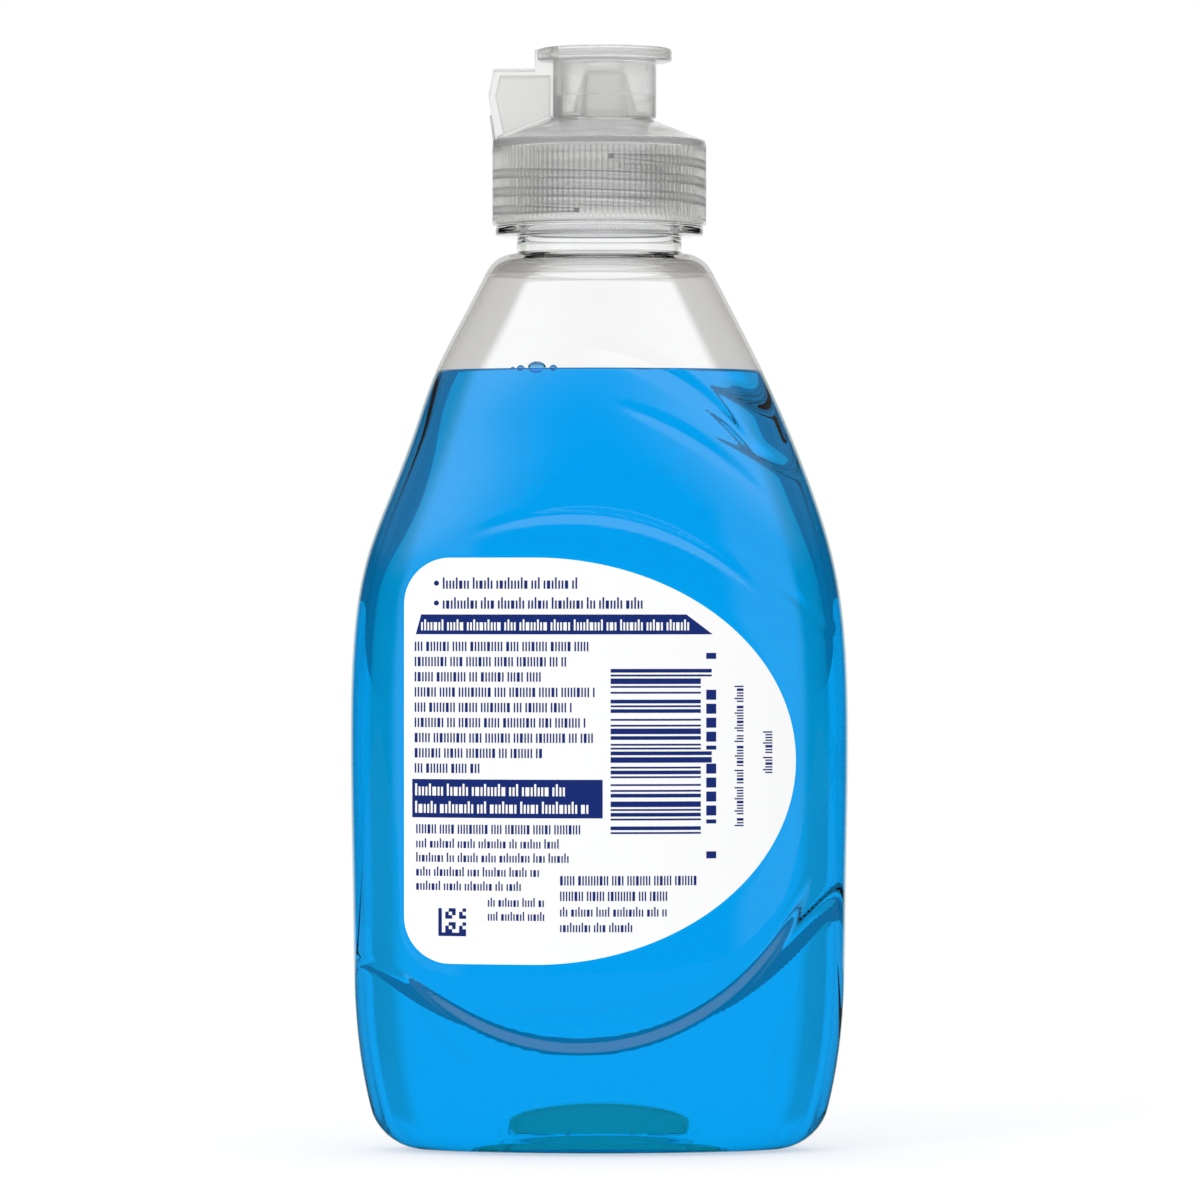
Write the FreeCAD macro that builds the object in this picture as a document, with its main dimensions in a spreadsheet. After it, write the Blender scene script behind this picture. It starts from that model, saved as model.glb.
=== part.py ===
import FreeCAD, Part
import os
import Sketcher

Vector = FreeCAD.Vector
Rotation = FreeCAD.Rotation

# The frame of the part. The bottle stands on z = 0, with its axis on Z. The labelled side faces -Y.
# The flip top opens towards -X, so its hinge is on that side of the cap.

# Driving dimensions, in millimetres. Each row is a name and its value.
SIZES = [
    # Bottle body, an oval that tapers into a round shoulder
    ("body_width", 76.2),
    ("body_depth", 40.0),
    ("base_width", 66.6),
    ("base_depth", 34.4),
    ("shoulder_height", 136.9),
    ("shoulder_radius", 15.9),
    ("shoulder_round", 2.5),
    ("heel_round", 6.0),
    ("wall", 0.6),
    # Push-up under the base
    ("pushup_width", 46.0),
    ("pushup_depth", 21.0),
    ("pushup_ledge", 2.9),
    ("pushup_height", 8.4),
    # Neck with its support ring
    ("neck_radius", 12.6),
    ("neck_bore_radius", 11.5),
    ("neck_height", 15.3),
    ("ring_radius", 15.9),
    ("ring_thickness", 1.4),
    ("ring_height", 2.9),
    # Liquid
    ("fill_height", 118.9),
    # Swoosh moulded round the label, the space between two ovals
    ("swoosh_depth", 0.8),
    ("swoosh_outer_width", 77.4),
    ("swoosh_outer_height", 82.6),
    ("swoosh_outer_centre", 57.0),
    ("swoosh_outer_side", -3.0),
    ("swoosh_inner_width", 80.0),
    ("swoosh_inner_height", 74.8),
    ("swoosh_inner_centre", 58.5),
    ("swoosh_inner_side", -5.0),
    # Crescent moulded under the shoulder, the space between two round arcs
    ("crescent_outer_radius", 38.5),
    ("crescent_inner_radius", 80.0),
    ("crescent_drop", 60.7),
    ("crescent_side", -4.84),
    ("crescent_inner_shift_x", -23.26),
    ("crescent_inner_shift_z", -36.9),
    # Label and the shallow panel that it is stuck in
    ("label_left", -29.6),
    ("label_middle", -10.0),
    ("label_right", 29.8),
    ("label_bottom", 29.0),
    ("label_top", 90.4),
    ("label_corner", 7.0),
    ("label_thickness", 0.1),
    ("label_margin", 0.5),
    ("panel_depth", 0.15),
    # Cap skirt, screwed over the neck
    ("cap_radius", 16.37),
    ("cap_bore_radius", 14.7),
    ("cap_side_height", 11.9),
    ("cap_ring_gap", 0.2),
    ("cap_edge_height", 1.25),
    ("cap_edge_width", 0.9),
    ("cap_slope_height", 3.05),
    ("seat_radius", 8.02),
    ("cap_wall", 1.3),
    ("seal_gap", 0.1),
    ("seal_outer_radius", 12.4),
    ("seal_inner_radius", 11.0),
    ("rib_count", 120),
    ("rib_depth", 0.22),
    ("rib_top_margin", 0.3),
    ("rib_foot_margin", 0.8),
    ("rib_flank", 2.2),
    # Spout, standing off the bottle's axis
    ("spout_offset", 0.8),
    ("collar_radius", 7.2),
    ("collar_top_radius", 7.0),
    ("collar_height", 1.0),
    ("nozzle_root_radius", 5.2),
    ("nozzle_tip_radius", 3.2),
    ("nozzle_height", 6.3),
    ("nozzle_root_bore", 3.17),
    ("nozzle_tip_bore", 2.65),
    # Flip lid
    ("lid_gap", 0.2),
    ("lid_side_gap", 0.24),
    ("lid_radius", 7.91),
    ("lid_bore_radius", 6.64),
    ("lid_ledge_height", 3.4),
    ("lid_height", 10.6),
    ("lid_plate", 1.8),
    ("flange_radius", 10.3),
    ("flange_thickness", 2.0),
    ("flange_rim", 0.4),
    ("plug_radius", 2.95),
    ("plug_gap", 0.2),
    ("plug_tip_length", 0.7),
    # Hinge and the arm that carries the lid
    ("hinge_side", 15.9),
    ("hinge_drop", 0.4),
    ("hinge_bead_radius", 0.35),
    ("hinge_gap", 0.25),
    ("notch_drop", 1.8),
    ("strap_thickness", 0.5),
    ("strap_height", 5.1),
    ("arm_width", 9.0),
    ("arm_wall", 1.0),
    ("arm_drop", 3.3),
    ("arm_reach", 1.0),
    ("arm_step", 0.35),
    ("arm_corner", 0.3),
    ("arm_point_drop", 4.0),
    # How far a joined piece sinks into its neighbour, and how far a cut runs past the face that it opens
    ("sink", 0.1),
    ("overrun", 1.0),
]

# Stations of the body's outline, from the heel up: share of the height, share of the full width,
# share of the full depth, and how far the outline leans to the right.
BODY_STATIONS = [
    (0.058, 0.930, 0.930, 0.0),
    (0.146, 0.977, 0.970, 0.0),
    (0.260, 0.990, 0.990, 0.0),
    (0.475, 1.000, 1.000, 0.0),
    (0.570, 0.988, 0.995, 0.0),
    (0.662, 0.936, 0.980, 0.1),
    (0.730, 0.854, 0.955, 0.4),
    (0.798, 0.760, 0.920, 0.4),
    (0.865, 0.664, 0.880, 0.0),
    (0.932, 0.543, 0.835, 0.0),
]

# Stations of the push-up, from its foot to its crown: share of its width, of the ledge's height and
# of the dome's height.
PUSHUP_STATIONS = [
    (0.950, 1.0, 0.00),
    (0.700, 1.0, 0.16),
    (0.600, 1.0, 0.46),
    (0.430, 1.0, 0.76),
    (0.220, 1.0, 0.95),
    (0.080, 1.0, 1.00),
]

doc = FreeCAD.newDocument("DishSoapBottle")
sheet = doc.addObject("Spreadsheet::Sheet", "Sizes")
for row, (name, value) in enumerate(SIZES, start=1):
    sheet.set("A%d" % row, name)
    sheet.set("B%d" % row, str(value))
    sheet.setAlias("B%d" % row, name)
doc.recompute()


def bind(obj, **expressions):
    """Tie properties to expressions; a double underscore stands for a dot in a property's path."""
    for path, expression in expressions.items():
        obj.setExpression(path.replace("__", "."), expression)


def value(expression):
    """The number that an expression over the sheet gives now."""
    result = sheet.evalExpression(expression)
    return float(getattr(result, "Value", result))


def add(kind, name):
    return doc.addObject(kind, name)


def fuse(name, shapes):
    obj = add("Part::MultiFuse", name)
    obj.Shapes = shapes
    obj.Refine = True
    return obj


def cut(name, base, tool):
    obj = add("Part::Cut", name)
    obj.Base = base
    obj.Tool = tool
    return obj


def common(name, first, second):
    obj = add("Part::MultiCommon", name)
    obj.Shapes = [first, second]
    return obj


def oval(name, width, depth, height, side="0"):
    """A flat oval, level at a height, with its long way along X."""
    ellipse = add("Part::Ellipse", name)
    bind(ellipse, MajorRadius=width + " / 2", MinorRadius=depth + " / 2",
         Placement__Base__x=side, Placement__Base__z=height)
    return ellipse


def loft(name, sections, ruled=False):
    obj = add("Part::Loft", name)
    obj.Sections = sections
    obj.Solid = True
    obj.Ruled = ruled
    return obj


def body_loft(name, inset, floor="0", roof="0", ruled=False):
    """The body's outline, moved inwards by an inset, between a floor and a lowered roof."""
    sections = [oval(name + "Heel", "(Sizes.base_width - 2 * %s)" % inset,
                     "(Sizes.base_depth - 2 * %s)" % inset, floor)]
    for index, (height, width, depth, lean) in enumerate(BODY_STATIONS, start=1):
        sections.append(oval(
            "%sStation%d" % (name, index),
            "(Sizes.body_width * %g - 2 * %s)" % (width, inset),
            "(Sizes.body_depth * %g - 2 * %s)" % (depth, inset),
            "Sizes.shoulder_height * %g" % height,
            "%g" % lean))
    top = "(2 * Sizes.shoulder_radius - 2 * %s)" % inset
    sections.append(oval(name + "Top", top, top, "Sizes.shoulder_height - %s" % roof))
    return loft(name, sections, ruled)


def level_edges(shape, height):
    """Numbers of the edges that lie flat at a height."""
    found = []
    for number, edge in enumerate(shape.Edges, start=1):
        box = edge.BoundBox
        if abs(box.ZMin - height) < 1e-4 and abs(box.ZMax - height) < 1e-4:
            found.append(number)
    return found


def eased(name, base, rounds, kind="Part::Fillet"):
    """Fillets or chamfers on the level edges at the given heights, each with its size."""
    doc.recompute()
    fillet = add(kind, name)
    fillet.Base = base
    fillet.Edges = [(number, value(radius), value(radius))
                    for height, radius in rounds
                    for number in level_edges(base.Shape, value(height))]
    return fillet


def cylinder(name, radius, bottom, height, side="0"):
    obj = add("Part::Cylinder", name)
    bind(obj, Radius=radius, Height=height, Placement__Base__z=bottom, Placement__Base__x=side)
    return obj


def through_prism(name, width, height, side, centre):
    """An oval prism that runs right through the bottle along Y."""
    outline = add("Part::Ellipse", name + "Outline")
    outline.Placement.Rotation = Rotation(Vector(1, 0, 0), 90)
    if value(width) < value(height):
        outline.Placement.Rotation = Rotation(Vector(1, 0, 0), 90).multiply(Rotation(Vector(0, 0, 1), 90))
        width, height = height, width
    bind(outline, MajorRadius=width + " / 2", MinorRadius=height + " / 2",
         Placement__Base__x=side, Placement__Base__y="Sizes.body_depth", Placement__Base__z=centre)
    prism = add("Part::Extrusion", name)
    prism.Base = outline
    prism.Dir = Vector(0, -1, 0)
    prism.DirMode = "Custom"
    prism.Solid = True
    bind(prism, LengthFwd="2 * Sizes.body_depth")
    return prism


def through_cylinder(name, radius, side, centre):
    """A round prism that runs right through the bottle along Y."""
    obj = add("Part::Cylinder", name)
    obj.Placement.Rotation = Rotation(Vector(1, 0, 0), 90)
    bind(obj, Radius=radius, Height="2 * Sizes.body_depth",
         Placement__Base__x=side, Placement__Base__y="Sizes.body_depth", Placement__Base__z=centre)
    return obj


def relief_prism(name, grow):
    """The swoosh and the crescent as seen from the front, grown sideways all round."""
    outer = through_prism(name + "SwooshOuter", "(Sizes.swoosh_outer_width + 2 * %s)" % grow,
                          "(Sizes.swoosh_outer_height + 2 * %s)" % grow,
                          "Sizes.swoosh_outer_side", "Sizes.swoosh_outer_centre")
    inner = through_prism(name + "SwooshInner", "(Sizes.swoosh_inner_width - 2 * %s)" % grow,
                          "(Sizes.swoosh_inner_height - 2 * %s)" % grow,
                          "Sizes.swoosh_inner_side", "Sizes.swoosh_inner_centre")
    swoosh = cut(name + "Swoosh", outer, inner)
    centre = "Sizes.shoulder_height - Sizes.crescent_drop"
    arc_outer = through_cylinder(name + "CrescentOuter", "Sizes.crescent_outer_radius + %s" % grow,
                                 "Sizes.crescent_side", centre)
    arc_inner = through_cylinder(name + "CrescentInner", "Sizes.crescent_inner_radius - %s" % grow,
                                 "Sizes.crescent_side + Sizes.crescent_inner_shift_x",
                                 centre + " + Sizes.crescent_inner_shift_z")
    crescent = cut(name + "Crescent", arc_outer, arc_inner)
    return fuse(name, [swoosh, crescent])


def label_prism(name, grow, near, far):
    """The label's outline along Y: rounded corners on the left, half an oval on the right."""
    oval_part = through_prism(name + "Oval", "(2 * (Sizes.label_right - Sizes.label_middle + %s))" % grow,
                              "(Sizes.label_top - Sizes.label_bottom + 2 * %s)" % grow,
                              "Sizes.label_middle", "(Sizes.label_top + Sizes.label_bottom) / 2")
    right = add("Part::Box", name + "RightHalf")
    bind(right, Length="Sizes.label_right - Sizes.label_middle + %s" % grow, Width=far + " - " + near,
         Height="Sizes.label_top - Sizes.label_bottom + 2 * %s" % grow,
         Placement__Base__x="Sizes.label_middle", Placement__Base__y=near,
         Placement__Base__z="Sizes.label_bottom - %s" % grow)
    left = add("Part::Box", name + "LeftHalf")
    bind(left, Length="Sizes.label_middle - Sizes.label_left + %s" % grow, Width=far + " - " + near,
         Height="Sizes.label_top - Sizes.label_bottom + 2 * %s" % grow,
         Placement__Base__x="Sizes.label_left - %s" % grow, Placement__Base__y=near,
         Placement__Base__z="Sizes.label_bottom - %s" % grow)
    doc.recompute()
    edge_x = left.Shape.BoundBox.XMin
    corners = add("Part::Fillet", name + "LeftRounded")
    corners.Base = left
    radius = value("Sizes.label_corner + %s" % grow)
    corners.Edges = [(number, radius, radius) for number, edge in enumerate(left.Shape.Edges, start=1)
                     if abs(edge.BoundBox.XMax - edge_x) < 1e-4 and edge.BoundBox.YLength > radius]
    return fuse(name, [corners, common(name + "RightOval", oval_part, right)])


def pushup(name, grow):
    """The oval push-up under the base, a ledge with a dome on it, grown all round."""
    wide = "(Sizes.pushup_width + 2 * %s)" % grow
    deep = "(Sizes.pushup_depth + 2 * %s)" % grow
    rise = "(Sizes.pushup_height - Sizes.pushup_ledge)"
    sections = [oval(name + "Foot", wide, deep, "0")]
    for index, (width, ledge, dome) in enumerate(PUSHUP_STATIONS, start=1):
        height = "Sizes.pushup_ledge * %g + %s * %g + %s" % (ledge, rise, dome, grow)
        sections.append(oval("%sStation%d" % (name, index), "%s * %g" % (wide, width),
                             "%s * %g" % (deep, width), height))
    return loft(name, sections, True)


def plane(body, role):
    return next(item for item in body.Origin.OriginFeatures if item.Role == role)


def sketch_on(body, name, role="XZ_Plane", height="0"):
    """An empty sketch on one of the body's own planes, raised by a height."""
    drawing = body.newObject("Sketcher::SketchObject", name)
    drawing.AttachmentSupport = (plane(body, role), [""])
    drawing.MapMode = "FlatFace"
    drawing.setExpression("AttachmentOffset.Base.z", height)
    return drawing


def pin_point(drawing, geometry, end, across, up):
    """Tie a point of a sketch to two expressions."""
    for kind, expression in (("DistanceX", across), ("DistanceY", up)):
        index = drawing.addConstraint(Sketcher.Constraint(kind, geometry, end, value(expression)))
        drawing.setExpression("Constraints[%d]" % index, expression)


def polygon(body, name, points, role="XZ_Plane", height="0"):
    """A closed outline whose corners are tied to the sheet."""
    drawing = sketch_on(body, name, role, height)
    corners = [Vector(value(across), value(up), 0) for across, up in points]
    count = len(corners)
    for index in range(count):
        drawing.addGeometry(Part.LineSegment(corners[index], corners[(index + 1) % count]), False)
    for index in range(count):
        drawing.addConstraint(Sketcher.Constraint("Coincident", index, 2, (index + 1) % count, 1))
    for index, (across, up) in enumerate(points):
        pin_point(drawing, index, 1, across, up)
    return drawing


def add_axis(drawing, side):
    """An upright construction line for turning an outline about."""
    line = drawing.addGeometry(Part.LineSegment(Vector(value(side), 0, 0), Vector(value(side), 10, 0)), True)
    pin_point(drawing, line, 1, side, "0")
    pin_point(drawing, line, 2, side, "10")


def turned(body, kind, name, points, side="0"):
    """An outline turned right round an upright axis, as an addition or a cut."""
    drawing = polygon(body, name + "Outline", points)
    add_axis(drawing, side)
    doc.recompute()
    feature = body.newObject(kind, name)
    feature.Profile = drawing
    feature.ReferenceAxis = (drawing, ["Axis0"])
    feature.Angle = 360
    drawing.Visibility = False
    return feature


def extruded(body, kind, name, drawing, length, both_ways=False, reverse=False):
    feature = body.newObject(kind, name)
    feature.Profile = drawing
    feature.Midplane = both_ways
    feature.Reversed = reverse
    feature.setExpression("Length", length)
    return feature


def edges_where(shape, test):
    return ["Edge%d" % number for number, edge in enumerate(shape.Edges, start=1) if test(edge)]


def ring_at(radius, height):
    """A test for round edges of a radius at a height."""
    def test(edge):
        curve = edge.Curve
        return (curve.TypeId == "Part::GeomCircle" and abs(curve.Radius - value(radius)) < 1e-4
                and abs(curve.Center.z - value(height)) < 1e-4)
    return test


# Bottle: one blow-moulded shell, drawn as its outside less its inside
outer = body_loft("OuterBody", "0")
outer_round = eased("OuterRounded", outer, [("0", "Sizes.heel_round"),
                                            ("Sizes.shoulder_height", "Sizes.shoulder_round")])
inner = body_loft("InnerBody", "Sizes.wall", "Sizes.wall", "Sizes.wall", True)
inner_round = eased("InnerEased", inner, [("Sizes.wall", "Sizes.heel_round - 1.5 * Sizes.wall"),
                                          ("Sizes.shoulder_height - Sizes.wall",
                                           "Sizes.shoulder_round - Sizes.wall")], "Part::Chamfer")
relief_floor = body_loft("ReliefFloor", "Sizes.swoosh_depth")
relief_back = body_loft("ReliefBack", "(Sizes.swoosh_depth + Sizes.wall)", ruled=True)
panel_floor = body_loft("PanelFloor", "Sizes.panel_depth")

relief_cut = cut("ReliefCut", relief_prism("ReliefOutline", "0"), relief_floor)
relief_fill = cut("ReliefFill", relief_prism("ReliefInside", "Sizes.wall"), relief_back)
panel_cut = cut("PanelCut", label_prism("PanelOutline", "Sizes.label_margin", "-Sizes.body_depth",
                                        "Sizes.body_depth"), panel_floor)
neck_bottom = "Sizes.shoulder_height - Sizes.shoulder_round"
neck = cylinder("NeckTube", "Sizes.neck_radius", neck_bottom,
                "Sizes.neck_height + Sizes.shoulder_round")
ring = cylinder("SupportRing", "Sizes.ring_radius", "Sizes.shoulder_height + Sizes.ring_height",
                "Sizes.ring_thickness")
bore = cylinder("NeckBore", "Sizes.neck_bore_radius", neck_bottom,
                "Sizes.neck_height + Sizes.shoulder_round + Sizes.overrun")
body_inside = cut("BodyInside", cut("InsideRelieved", inner_round, relief_fill),
                  pushup("PushupInside", "Sizes.wall"))
cavity = fuse("Cavity", [body_inside, bore])
blank = fuse("Blank", [outer_round, neck, ring])
blank = cut("BlankPanelled", cut("BlankRelieved", blank, relief_cut), panel_cut)
blank = cut("BlankBased", blank, pushup("PushupOutside", "0"))
bottle = cut("Bottle", blank, cavity)
bottle.Label = "bottle"

# Liquid: what the inside holds below the fill level
fill_box = add("Part::Box", "FillBox")
bind(fill_box, Length="2 * Sizes.body_width", Width="2 * Sizes.body_depth", Height="Sizes.fill_height",
     Placement__Base__x="-Sizes.body_width", Placement__Base__y="-Sizes.body_depth")
liquid = common("Liquid", cavity, fill_box)
liquid.Label = "liquid"

# Label: a film that lies in the panel on the shown side
label_sheet = label_prism("LabelOutline", "0", "-Sizes.body_depth", "0")
film_front = body_loft("FilmFront", "(Sizes.panel_depth - Sizes.label_thickness)")
film = common("LabelFilm", film_front, label_sheet)
back_label = cut("BackLabel", film, panel_floor)
back_label.Label = "back_label"

# Heights up the closure, each worked out from the piece below it
CAP_FOOT = "(Sizes.shoulder_height + Sizes.ring_height + Sizes.ring_thickness + Sizes.cap_ring_gap)"
CAP_EDGE = "(%s + Sizes.cap_side_height)" % CAP_FOOT
SLOPE_FOOT = "(%s + Sizes.cap_edge_height)" % CAP_EDGE
SLOPE_TOP = "(%s + Sizes.cap_slope_height)" % SLOPE_FOOT
COLLAR_TOP = "(%s + Sizes.collar_height)" % SLOPE_TOP
NOZZLE_TIP = "(%s + Sizes.nozzle_height)" % COLLAR_TOP
NECK_TOP = "(Sizes.shoulder_height + Sizes.neck_height)"
SPOUT = "Sizes.spout_offset"
LID_FOOT = "(%s + Sizes.lid_gap)" % SLOPE_TOP
LID_LEDGE = "(%s + Sizes.lid_ledge_height)" % LID_FOOT
LID_TOP = "(%s + Sizes.lid_height)" % LID_FOOT
FLANGE_FOOT = "(%s - Sizes.flange_thickness)" % LID_TOP
HINGE_HEIGHT = "(%s - Sizes.hinge_drop)" % CAP_EDGE


def off_spout(radius):
    return "%s + %s" % (SPOUT, radius)


# Closure: skirt and sloping shoulder, hollow inside, with a seal ring that meets the neck's rim
cap = doc.addObject("PartDesign::Body", "ClosureBody")
cap.Label = "closure_body"
turned(cap, "PartDesign::Revolution", "Skirt", [
    ("Sizes.cap_bore_radius", CAP_FOOT), ("Sizes.cap_radius", CAP_FOOT), ("Sizes.cap_radius", CAP_EDGE),
    ("Sizes.cap_radius - 0.25 * Sizes.cap_edge_width", CAP_EDGE + " + 0.7 * Sizes.cap_edge_height"),
    ("Sizes.cap_radius - Sizes.cap_edge_width", SLOPE_FOOT), ("Sizes.seat_radius", SLOPE_TOP),
    ("0", SLOPE_TOP), ("0", "%s - Sizes.cap_wall" % SLOPE_TOP),
    ("Sizes.seat_radius", "%s - Sizes.cap_wall" % SLOPE_TOP),
    ("Sizes.cap_bore_radius", "%s - Sizes.cap_wall" % SLOPE_FOOT)])
notch_top = "%s + Sizes.cap_wall" % SLOPE_FOOT
notch = polygon(cap, "HingeNotchOutline", [
    ("-Sizes.cap_radius - Sizes.overrun", "%s - Sizes.notch_drop" % HINGE_HEIGHT),
    ("-Sizes.hinge_side + Sizes.hinge_bead_radius + Sizes.hinge_gap", "%s - Sizes.notch_drop" % HINGE_HEIGHT),
    ("-Sizes.hinge_side + Sizes.hinge_bead_radius + Sizes.hinge_gap", notch_top),
    ("-Sizes.cap_radius - Sizes.overrun", notch_top)])
extruded(cap, "PartDesign::Pocket", "HingeNotch", notch, "Sizes.arm_width + 2 * Sizes.hinge_gap", True)
turned(cap, "PartDesign::Revolution", "Spout", [
    (SPOUT, "%s - Sizes.cap_wall / 2" % SLOPE_TOP),
    (off_spout("Sizes.collar_radius"), "%s - Sizes.cap_wall / 2" % SLOPE_TOP),
    (off_spout("Sizes.collar_radius"), SLOPE_TOP),
    (off_spout("Sizes.collar_top_radius"), COLLAR_TOP),
    (off_spout("Sizes.nozzle_root_radius"), COLLAR_TOP),
    (off_spout("Sizes.nozzle_tip_radius"), NOZZLE_TIP), (SPOUT, NOZZLE_TIP)], SPOUT)
bore_foot = "%s - Sizes.cap_wall - Sizes.overrun" % SLOPE_TOP
bore_top = NOZZLE_TIP + " + Sizes.overrun"
turned(cap, "PartDesign::Groove", "SpoutBore", [
    (SPOUT, bore_foot), (off_spout("Sizes.nozzle_root_bore"), bore_foot),
    (off_spout("Sizes.nozzle_root_bore"), SLOPE_TOP),
    (off_spout("Sizes.nozzle_tip_bore"), NOZZLE_TIP),
    (off_spout("Sizes.nozzle_tip_bore"), bore_top), (SPOUT, bore_top)], SPOUT)
turned(cap, "PartDesign::Revolution", "SealRing", [
    ("Sizes.seal_inner_radius", "%s + Sizes.seal_gap" % NECK_TOP),
    ("Sizes.seal_outer_radius", "%s + Sizes.seal_gap" % NECK_TOP),
    ("Sizes.seal_outer_radius", "%s + Sizes.cap_wall * 0.8" % SLOPE_FOOT),
    ("Sizes.seal_inner_radius", "%s + Sizes.cap_wall * 0.8" % SLOPE_FOOT)])
doc.recompute()
rib_outside = "Sizes.cap_radius + Sizes.sink"
rib_half = "Sizes.cap_radius * Sizes.rib_flank / Sizes.rib_count"
rib_outline = polygon(cap, "RibGrooveOutline", [
    ("Sizes.cap_radius - Sizes.rib_depth", "0"), (rib_outside, "-" + rib_half), (rib_outside, rib_half)],
    "XY_Plane", "%s - Sizes.rib_top_margin" % CAP_EDGE)
rib = extruded(cap, "PartDesign::Pocket", "RibGroove", rib_outline,
               "Sizes.cap_side_height - Sizes.rib_top_margin - Sizes.rib_foot_margin")
doc.recompute()
ribs = cap.newObject("PartDesign::PolarPattern", "RibGrooves")
ribs.Originals = [rib]
ribs.Axis = (rib_outline, ["N_Axis"])
ribs.Angle = 360
ribs.setExpression("Occurrences", "Sizes.rib_count")
cap.Tip = ribs

# Flip lid: flange on a stepped skirt, a plug for the nozzle and a hollow arm down to the hinge
lid = doc.addObject("PartDesign::Body", "FlipLid")
lid.Label = "flip_lid"
step_x = "-(Sizes.flange_radius - Sizes.spout_offset) - Sizes.arm_step"
strap_outer_x = "-Sizes.hinge_side - Sizes.arm_step"
arm_top = "(%s - Sizes.arm_drop)" % LID_TOP
arm_point = "%s - Sizes.arm_point_drop" % arm_top
lid_side_x = "-(Sizes.lid_radius - Sizes.spout_offset)"
arm_outline = polygon(lid, "ArmOutline", [
    (SPOUT, LID_TOP), (step_x, LID_TOP), (step_x, arm_top),
    ("-Sizes.hinge_side - Sizes.arm_corner", arm_top),
    ("-Sizes.hinge_side - Sizes.arm_reach", arm_point),
    ("-Sizes.hinge_side - Sizes.sink", "%s + 2 * Sizes.hinge_drop" % HINGE_HEIGHT),
    ("-Sizes.hinge_side + Sizes.hinge_bead_radius + Sizes.hinge_gap",
     "%s + Sizes.lid_gap + Sizes.sink" % SLOPE_FOOT),
    ("-Sizes.seat_radius", LID_FOOT), (SPOUT, LID_FOOT)])
extruded(lid, "PartDesign::Pad", "Arm", arm_outline, "Sizes.arm_width", True)
turned(lid, "PartDesign::Revolution", "Crown", [
    (SPOUT, LID_FOOT), (off_spout("Sizes.lid_radius"), LID_FOOT),
    (off_spout("Sizes.lid_radius"), FLANGE_FOOT), (off_spout("Sizes.flange_radius"), FLANGE_FOOT),
    (off_spout("Sizes.flange_radius"), LID_TOP), (SPOUT, LID_TOP)], SPOUT)
lower_bore = "Sizes.collar_radius + Sizes.lid_side_gap"
underside = "%s - Sizes.lid_plate" % LID_TOP
crown_cut = LID_FOOT + " - Sizes.overrun"
turned(lid, "PartDesign::Groove", "CrownInside", [
    (SPOUT, crown_cut), (off_spout(lower_bore), crown_cut),
    (off_spout(lower_bore), LID_LEDGE), (off_spout("Sizes.lid_bore_radius"), LID_LEDGE),
    (off_spout("Sizes.lid_bore_radius"), underside), (SPOUT, underside)], SPOUT)
plug_root = underside + " + Sizes.sink"
plug_foot = "(%s + Sizes.plug_gap)" % NOZZLE_TIP
turned(lid, "PartDesign::Revolution", "Plug", [
    (SPOUT, plug_root), (off_spout("Sizes.plug_radius"), plug_root),
    (off_spout("Sizes.plug_radius"), plug_foot),
    (off_spout("Sizes.nozzle_tip_bore - Sizes.plug_gap"), plug_foot),
    (off_spout("Sizes.nozzle_tip_bore - Sizes.plug_gap - Sizes.plug_tip_length * 0.75"),
     "%s - Sizes.plug_tip_length" % plug_foot),
    (SPOUT, "%s - Sizes.plug_tip_length" % plug_foot)], SPOUT)
channel_foot = "%s - Sizes.overrun" % SLOPE_FOOT
channel = polygon(lid, "ArmChannelOutline", [
    ("-Sizes.cap_radius + 2 * Sizes.arm_wall", channel_foot),
    (lid_side_x + " - Sizes.arm_wall / 2", channel_foot),
    (lid_side_x + " - Sizes.arm_wall / 2", "%s - Sizes.arm_wall" % arm_top),
    ("-Sizes.hinge_side - Sizes.arm_corner + Sizes.arm_wall", "%s - Sizes.arm_wall" % arm_top),
    ("-Sizes.hinge_side - Sizes.arm_reach + Sizes.arm_wall", arm_point)])
extruded(lid, "PartDesign::Pocket", "ArmChannel", channel, "Sizes.arm_width - 2 * Sizes.arm_wall", True)
strap = polygon(lid, "StrapOutline", [
    (strap_outer_x + " - Sizes.strap_thickness", HINGE_HEIGHT + " + Sizes.strap_height"),
    ("-Sizes.hinge_side - Sizes.arm_corner", HINGE_HEIGHT + " + Sizes.strap_height"),
    ("-Sizes.hinge_side + Sizes.strap_thickness / 2", HINGE_HEIGHT),
    ("-Sizes.hinge_side - Sizes.strap_thickness / 2", HINGE_HEIGHT)])
extruded(lid, "PartDesign::Pad", "Strap", strap, "Sizes.arm_width", True)
bead = sketch_on(lid, "BeadOutline")
bead.addGeometry(Part.Circle(Vector(-value("Sizes.hinge_side"), value(HINGE_HEIGHT), 0), Vector(0, 0, 1),
                             value("Sizes.hinge_bead_radius")), False)
bead_size = bead.addConstraint(Sketcher.Constraint("Radius", 0, value("Sizes.hinge_bead_radius")))
bead.setExpression("Constraints[%d]" % bead_size, "Sizes.hinge_bead_radius")
pin_point(bead, 0, 3, "-Sizes.hinge_side", HINGE_HEIGHT)
bead_pad = extruded(lid, "PartDesign::Pad", "HingeBead", bead, "Sizes.arm_width", True)
doc.recompute()


def flange_rim(edge):
    return ring_at("Sizes.flange_radius", LID_TOP)(edge) or ring_at("Sizes.flange_radius", FLANGE_FOOT)(edge)


lid_end = lid.newObject("PartDesign::Chamfer", "FlangeRim")
lid_end.Base = (bead_pad, edges_where(bead_pad.Shape, flange_rim))
lid_end.setExpression("Size", "Sizes.flange_rim")
lid.Tip = lid_end

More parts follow.
